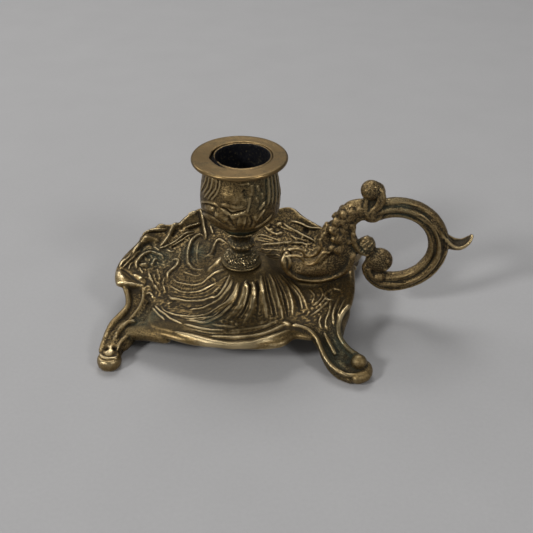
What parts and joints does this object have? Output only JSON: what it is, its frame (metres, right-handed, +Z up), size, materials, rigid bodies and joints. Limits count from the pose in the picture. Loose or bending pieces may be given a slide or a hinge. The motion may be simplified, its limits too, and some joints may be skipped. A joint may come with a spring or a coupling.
{
  "type": "chamberstick",
  "caption": "Rococo cast brass chamberstick: footed drip pan in scrollwork relief, knopped stem, tulip candle cup with a lift-off drip plate, and a C-scroll finger handle.",
  "frame": {"origin": "on the table, on the axis of the stem", "axes": "+X from the stem towards the handle, +Y to the back, +Z up along the candle"},
  "size_m": [0.1552, 0.1032, 0.074],
  "materials": {
    "cast_brass": "aged cast brass, olive-gold on the ridges, green-black in the hollows",
    "red_brass": "aged cast brass, browner, with verdigris in the grooves",
    "handle_brass": "aged cast brass, worn bright where fingers rub",
    "turned_brass": "satin turned brass, lightly handled",
    "washer_brass": "plain turned brass, dull",
    "steel": "plain steel, dull with age"
  },
  "bodies": {
    "chamberstick": {"drip_pan": "cast_brass", "stem_knop": "red_brass", "stem_collar": "red_brass", "socket_cup": "red_brass", "centre_stud": "steel", "centre_washer": "washer_brass", "centre_nut": "washer_brass", "handle": "handle_brass", "handle_screws": "steel", "handle_washers": "washer_brass"},
    "plate": {"drip_plate": "turned_brass"}
  },
  "joints": [
    {"name": "plate_lift", "type": "slide", "parent": "chamberstick", "child": "plate", "axis": [0, 0, 1], "range_m": [0, 0.03]}
  ]
}
